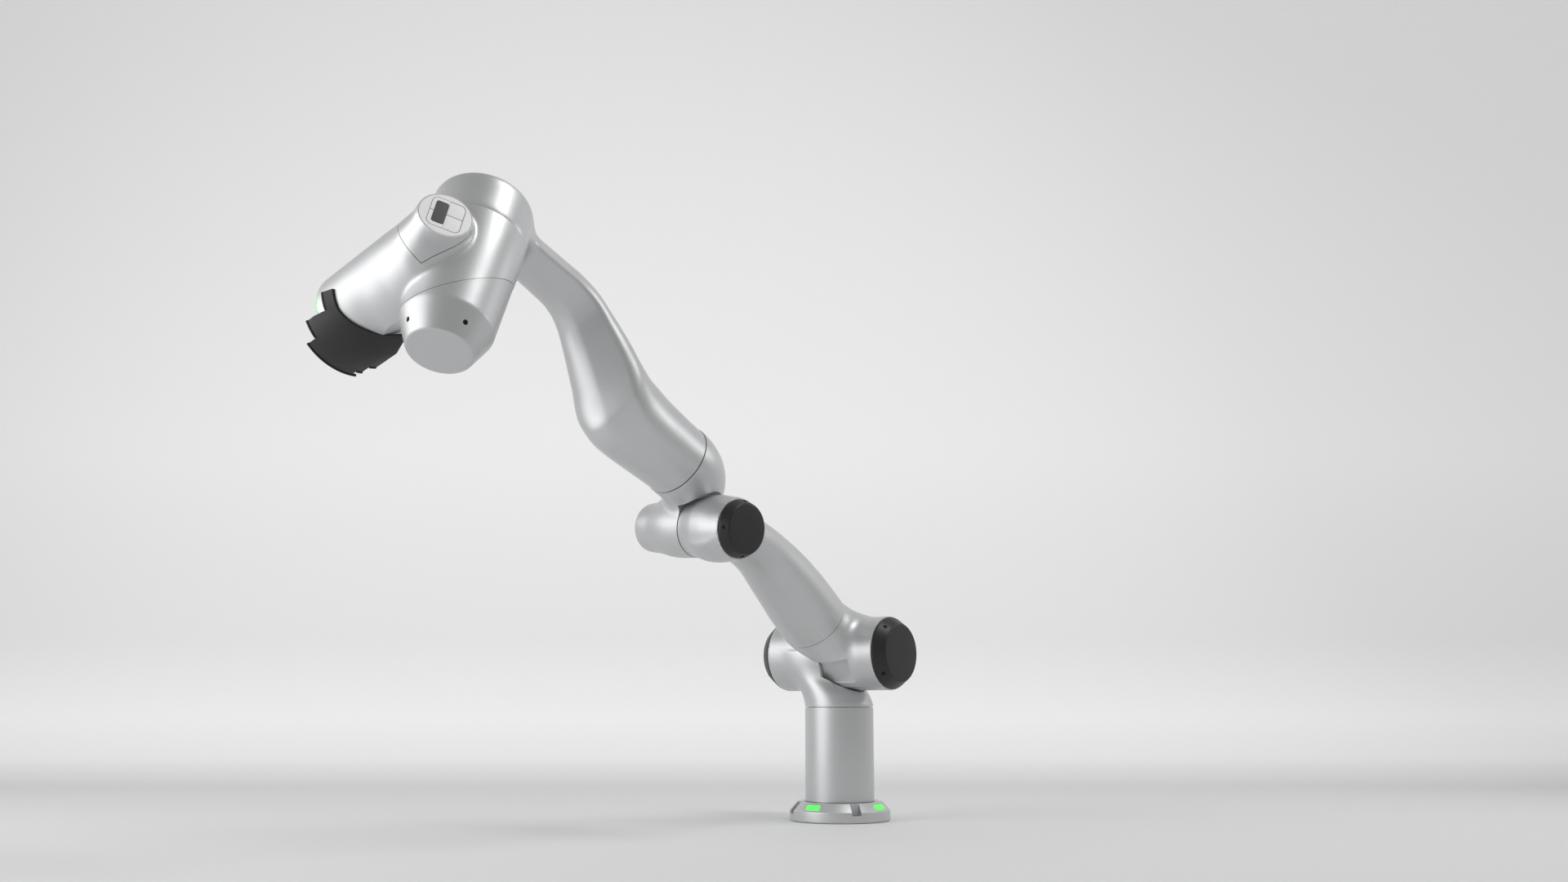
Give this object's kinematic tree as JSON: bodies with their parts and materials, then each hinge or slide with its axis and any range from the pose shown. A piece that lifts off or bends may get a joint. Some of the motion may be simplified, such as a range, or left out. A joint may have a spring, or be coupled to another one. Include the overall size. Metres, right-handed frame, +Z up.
{
  "type": "seven-axis collaborative robot arm",
  "caption": "Table-mounted collaborative robot arm with rounded metal housings, jointed shoulder, elbow and wrist, black end caps and a keyed wrist panel.",
  "frame": {"origin": "middle of the base underside, on the first joint's axis", "axes": "+Z up along the column, +X towards the reach of the arm in its stored pose, +Y along the shoulder axis"},
  "size_m": [1.0557, 0.3652, 0.9273],
  "materials": {
    "silver_casing": "satin, fine bead-blasted",
    "black_plastic": "matt black",
    "white_plastic": "satin white",
    "grey_key": "matt dark grey",
    "board": "plain board",
    "steel": "plain steel",
    "inner_metal": "dark anodised",
    "light": "translucent green light guide"
  },
  "bodies": {
    "base": {"base_flange": "silver_casing", "base_light_window_1": "light", "base_light_window_2": "light", "base_light_window_3": "light", "base_light_window_4": "light", "base_column": "silver_casing", "base_cable_socket": "inner_metal", "joint_1_drive": "inner_metal"},
    "shoulder": {"shoulder_casing": "silver_casing", "joint_1_output_ring": "inner_metal", "joint_2_drive": "inner_metal", "shoulder_cap": "black_plastic", "shoulder_cap_screw_1": "steel", "shoulder_cap_screw_2": "steel", "shoulder_cap_screw_3": "steel", "shoulder_cap_screw_4": "steel"},
    "swing": {"swing_casing": "silver_casing", "joint_2_output_ring": "inner_metal", "swing_control_board": "board", "swing_cap": "black_plastic", "swing_cap_screw_1": "steel", "swing_cap_screw_2": "steel", "swing_cap_screw_3": "steel", "swing_cap_screw_4": "steel"},
    "upper_arm": {"upper_arm_casing": "silver_casing", "joint_3_output_ring": "inner_metal", "joint_3_drive": "inner_metal", "joint_4_drive": "inner_metal", "elbow_outer_cap": "black_plastic", "elbow_cap_screw_1": "steel", "elbow_cap_screw_2": "steel", "elbow_cap_screw_3": "steel", "elbow_cap_screw_4": "steel"},
    "elbow": {"elbow_casing": "silver_casing", "joint_4_output_ring": "inner_metal"},
    "forearm": {"forearm_casing": "silver_casing", "joint_5_output_ring": "inner_metal", "joint_5_drive": "inner_metal", "joint_6_drive": "inner_metal", "forearm_end_cap": "silver_casing"},
    "wrist": {"wrist_casing": "silver_casing", "wrist_end_cover": "silver_casing", "joint_6_output_ring": "inner_metal", "joint_7_drive": "inner_metal", "wrist_light_ring": "light", "wrist_guard": "black_plastic", "wrist_pod_casing": "silver_casing", "wrist_panel": "white_plastic", "wrist_cover_screw_1": "steel", "wrist_cover_screw_2": "steel", "wrist_cover_screw_3": "steel", "wrist_cover_screw_4": "steel"},
    "tool": {"tool_flange": "steel", "tool_dowel": "steel"},
    "key_upper": {"panel_key_upper": "white_plastic"},
    "key_lower": {"panel_key_lower": "white_plastic"},
    "key_grip": {"panel_key_grip": "grey_key"}
  },
  "joints": [
    {"name": "joint_1_turn", "type": "hinge", "parent": "base", "child": "shoulder", "pos_m": [0, 0, 0], "axis": [0, 0, 1], "range_deg": [-165, 165]},
    {"name": "joint_2_swing", "type": "hinge", "parent": "shoulder", "child": "swing", "pos_m": [0, 0, 0.2856], "axis": [0, 1, 0], "range_deg": [-100, 25]},
    {"name": "joint_3_turn", "type": "hinge", "parent": "swing", "child": "upper_arm", "pos_m": [0, 0, 0.2856], "axis": [0.7986, 0, 0.6018], "range_deg": [-165, 165]},
    {"name": "joint_4_fold", "type": "hinge", "parent": "upper_arm", "child": "elbow", "pos_m": [0.37103, -0.00877, 0.47533], "axis": [0.073, 0.9926, -0.0969], "range_deg": [-15, 100]},
    {"name": "joint_5_turn", "type": "hinge", "parent": "elbow", "child": "forearm", "pos_m": [0.3434, -0.00061, 0.53814], "axis": [0.9137, -0.0276, 0.4055], "range_deg": [-165, 165]},
    {"name": "joint_6_fold", "type": "hinge", "parent": "forearm", "child": "wrist", "pos_m": [0.82549, -0.03281, 0.83637], "axis": [0.4018, 0.2114, -0.891], "range_deg": [-100, 75]},
    {"name": "joint_7_turn", "type": "hinge", "parent": "wrist", "child": "tool", "pos_m": [0.89325, -0.02434, 0.79341], "axis": [0.0347, 0.9688, 0.2456], "range_deg": [-170, 170]},
    {"name": "key_upper_press", "type": "slide", "parent": "wrist", "child": "key_upper", "axis": [-0.3691, -0.853, -0.3689], "range_m": [0, 0.001], "stiffness_N_per_m": 400, "springref_m": -0.0005},
    {"name": "key_lower_press", "type": "slide", "parent": "wrist", "child": "key_lower", "axis": [-0.3691, -0.853, -0.3689], "range_m": [0, 0.001], "stiffness_N_per_m": 400, "springref_m": -0.0005},
    {"name": "key_grip_press", "type": "slide", "parent": "wrist", "child": "key_grip", "axis": [-0.3691, -0.853, -0.3689], "range_m": [0, 0.001], "stiffness_N_per_m": 400, "springref_m": -0.0005}
  ]
}
